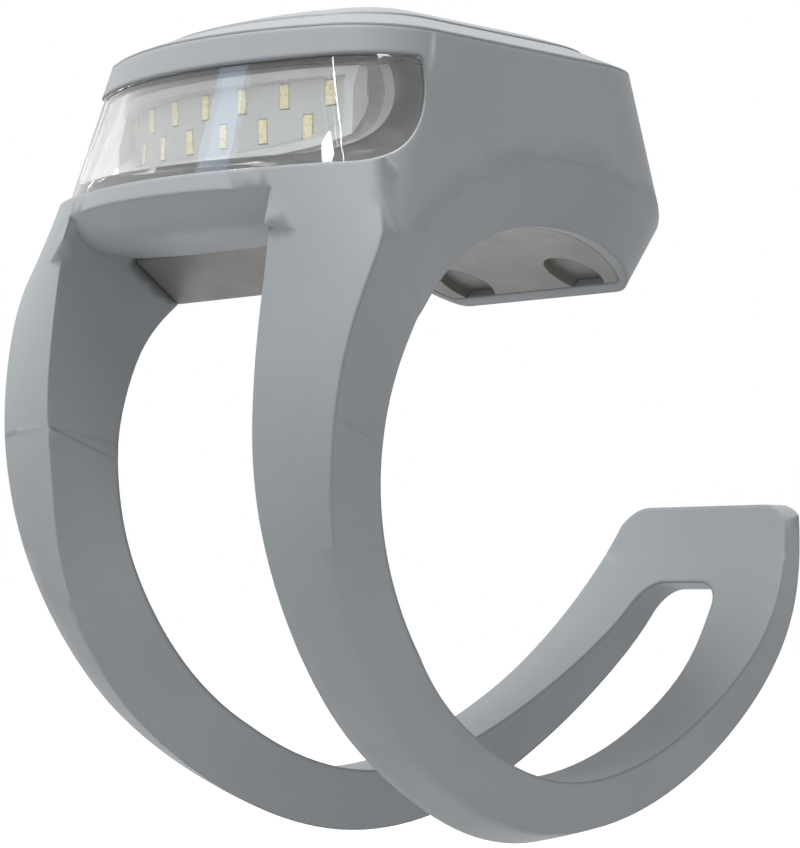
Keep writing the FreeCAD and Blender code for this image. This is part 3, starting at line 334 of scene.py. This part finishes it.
def split_at_rim(skin):
    """Cut the moulding just under the rim: the dome's skin above, the rest below."""
    tilt = math.radians(RIM_TILT)
    normal = Vector((0.0, math.sin(tilt), math.cos(tilt)))
    point = Vector((0.0, CUT_STATION, CUT_LEVEL)) * MM
    halves = []
    for name, keep_above in (("silicone_dome", True), ("silicone_body", False)):
        work = bmesh.new()
        work.from_mesh(skin.data)
        cut = bmesh.ops.bisect_plane(work, geom=work.verts[:] + work.edges[:] + work.faces[:],
                                     plane_co=point, plane_no=normal,
                                     clear_inner=keep_above, clear_outer=not keep_above)
        rim_edges = [e for e in cut["geom_cut"] if isinstance(e, bmesh.types.BMEdge)]
        bmesh.ops.triangle_fill(work, use_beauty=True, use_dissolve=False, edges=rim_edges,
                                normal=-normal if keep_above else normal)
        for edge in rim_edges:
            if edge.is_valid:
                edge.smooth = False
        bmesh.ops.recalc_face_normals(work, faces=work.faces)
        for face in work.faces:
            face.smooth = True
        mesh = bpy.data.meshes.new(name)
        work.to_mesh(mesh)
        work.free()
        mesh.set_sharp_from_angle(angle=math.radians(SHARP_TURN))
        halves.append(apply_modifier(mesh_object(name, mesh), "WEIGHTED_NORMAL", keep_sharp=True))
    old = skin.data
    bpy.data.objects.remove(skin)
    bpy.data.meshes.remove(old)
    return halves


def finish_node(name, material):
    """Give a carried-over solid its finish."""
    piece = nodes[name]
    piece.data.materials.clear()
    piece.data.materials.append(material)


add_camera()

silicone = moulded_silicone()
shell = eroded_plastic("abs_spark_eroded_warm_grey", "6C6A66", "72706C", 0.5)
lens_material = clear_polycarbonate()
rubber_seal = eroded_plastic("nitrile_seal_black", "1C1C1E", "242427", 0.6)
clear_seal = eroded_plastic("silicone_seal_smoke_grey", "A9ABAA", "B3B5B4", 0.5)
tray_material = smooth_coat("moulded_tray_light_grey", "B4B6B6", "BBBDBD", 0.4)
white_board = smooth_coat("solder_resist_white", "DCDCD6", "E6E6E1", 0.3)
green_board = smooth_coat("solder_resist_green", "1C5A34", "226B3E", 0.3)
chip_resin = eroded_plastic("chip_epoxy_black", "17171A", "202024", 0.45)
ceramic = smooth_coat("sintered_ceramic_tan", "9A846A", "AA947A", 0.4)
nickel = plated_metal("nickel_plate", "B9B9BA", "CACACB", 0.3)
foil = plated_metal("pouch_foil", "BEC1C4", "CDD0D3", 0.35)
film = smooth_coat("polyimide_film", "B1741F", "C08329", 0.25)
white_plastic = eroded_plastic("acetal_white", "DAD9D4", "E2E1DC", 0.4)
dark_plastic = eroded_plastic("nylon_dark", "1D1D1F", "27272A", 0.45)
foam = eroded_plastic("foam_dark_grey", "232325", "303033", 0.8)
red_sleeve = smooth_coat("pvc_red", "96170F", "A51E14", 0.35)
phosphor = phosphor_lamp()

finishes = {
    "module_base": shell, "module_cover": shell, "lens": lens_material, "lens_gasket": clear_seal,
    "shell_seal": rubber_seal, "reflector_tray": tray_material, "led_board": white_board,
    "leds": phosphor, "led_ribbon": film, "main_board": green_board, "driver_chip": chip_resin,
    "charge_chip": chip_resin, "power_coil": chip_resin, "capacitors": ceramic,
    "tact_switch": nickel, "switch_stem": dark_plastic, "button_plunger": white_plastic,
    "battery_cell": foil, "battery_pad": foam, "battery_leads": red_sleeve,
    "charge_socket": nickel, "socket_tongue": dark_plastic, "board_screws": nickel,
}
for name, material in finishes.items():
    finish_node(name, material)

clearance = nodes["lens"].modifiers.new("clearance", "DISPLACE")
clearance.strength = -LENS_CLEARANCE * MM
clearance.mid_level = 0.0

skin = silicone_skin()
dome, body = split_at_rim(skin)
for piece in (dome, body):
    piece.data.materials.append(silicone)
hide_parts("press_dome")
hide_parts("silicone_sleeve", "hook_band")
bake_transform(dome)
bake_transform(body)


# Studio

def seen_directly(tree):
    """1 where the camera sees a thing itself, in a reflection or through glass, otherwise 0."""
    path = add_node(tree, "ShaderNodeLightPath").outputs
    shown = add_node(tree, "ShaderNodeMath", {"operation": "MAXIMUM"})
    tree.links.new(path["Is Camera Ray"], shown.inputs[0])
    tree.links.new(path["Is Glossy Ray"], shown.inputs[1])
    either = add_node(tree, "ShaderNodeMath", {"operation": "MAXIMUM"})
    tree.links.new(shown.outputs[0], either.inputs[0])
    tree.links.new(path["Is Transmission Ray"], either.inputs[1])
    return either.outputs[0]


def add_studio():
    """White surroundings, soft light, narrow lamps that the lens mirrors, and the floor."""
    scene = bpy.context.scene
    scene.view_settings.view_transform = "Standard"
    world = bpy.data.worlds.new("studio")
    scene.world = world
    world.use_nodes = True
    tree = world.node_tree
    tree.nodes.clear()
    white = add_node(tree, "ShaderNodeBackground", {"Color": (1, 1, 1, 1), "Strength": 1.0})
    soft = add_node(tree, "ShaderNodeBackground", {"Color": (0.97, 0.985, 1.0, 1), "Strength": 0.6})
    mix = add_node(tree, "ShaderNodeMixShader")
    tree.links.new(seen_directly(tree), mix.inputs[0])
    tree.links.new(soft.outputs[0], mix.inputs[1])
    tree.links.new(white.outputs[0], mix.inputs[2])
    out = add_node(tree, "ShaderNodeOutputWorld")
    tree.links.new(mix.outputs[0], out.inputs["Surface"])

    def lamp(name, place, aim, size, power, tint=(1, 1, 1)):
        """A lamp of a size, at a place and aimed at another, all in metres."""
        data = bpy.data.lights.new(name, "AREA")
        data.shape = "RECTANGLE"
        data.size, data.size_y = size
        data.energy = power
        data.color = tint
        lamp_object = bpy.data.objects.new(name, data)
        scene.collection.objects.link(lamp_object)
        lamp_object.location = place
        lamp_object.rotation_mode = "QUATERNION"
        lamp_object.rotation_quaternion = (Vector(aim) - Vector(place)).to_track_quat("-Z", "Y")

    lamp("key", (-0.06, -0.11, 0.41), (0, 0, 0.005), (0.26, 0.2), 2.6)
    lamp("fill", (0.34, -0.31, 0.02), (0, 0, 0.005), (0.3, 0.3), 0.55)
    lamp("panel", (-0.22, -0.274, 0.223), (0.004, -0.015, 0.017), (0.065, 0.12), 0.045, (0.5, 0.7, 1))
    lamp("slit", (-0.022, -0.324, 0.267), (0.01, -0.0135, 0.0165), (0.012, 0.03), 0.02)

    floor_low = cad_low.z - FLOOR_DROP * MM
    mesh = bpy.data.meshes.new("floor")
    reach = FLOOR_REACH * MM
    corners = [(-reach, -reach), (reach, -reach), (reach, reach), (-reach, reach)]
    mesh.from_pydata([(x, y, floor_low) for x, y in corners], [], [(0, 1, 2, 3)])
    floor = mesh_object("floor", mesh)
    material = bpy.data.materials.new("floor_white")
    material.use_nodes = True
    tree = material.node_tree
    tree.nodes.clear()
    glow = add_node(tree, "ShaderNodeEmission", {"Color": (1, 1, 1, 1)},
                    {"Strength": seen_directly(tree)})
    dull = add_node(tree, "ShaderNodeBsdfDiffuse", {"Color": (0.4, 0.4, 0.4, 1)})
    half = add_node(tree, "ShaderNodeMixShader", {"Fac": 0.82})
    tree.links.new(dull.outputs[0], half.inputs[1])
    tree.links.new(glow.outputs[0], half.inputs[2])
    total = add_node(tree, "ShaderNodeAddShader")
    tree.links.new(half.outputs[0], total.inputs[0])
    tree.links.new(dull.outputs[0], total.inputs[1])
    out = add_node(tree, "ShaderNodeOutputMaterial")
    tree.links.new(total.outputs[0], out.inputs["Surface"])
    mesh.materials.append(material)


add_studio()
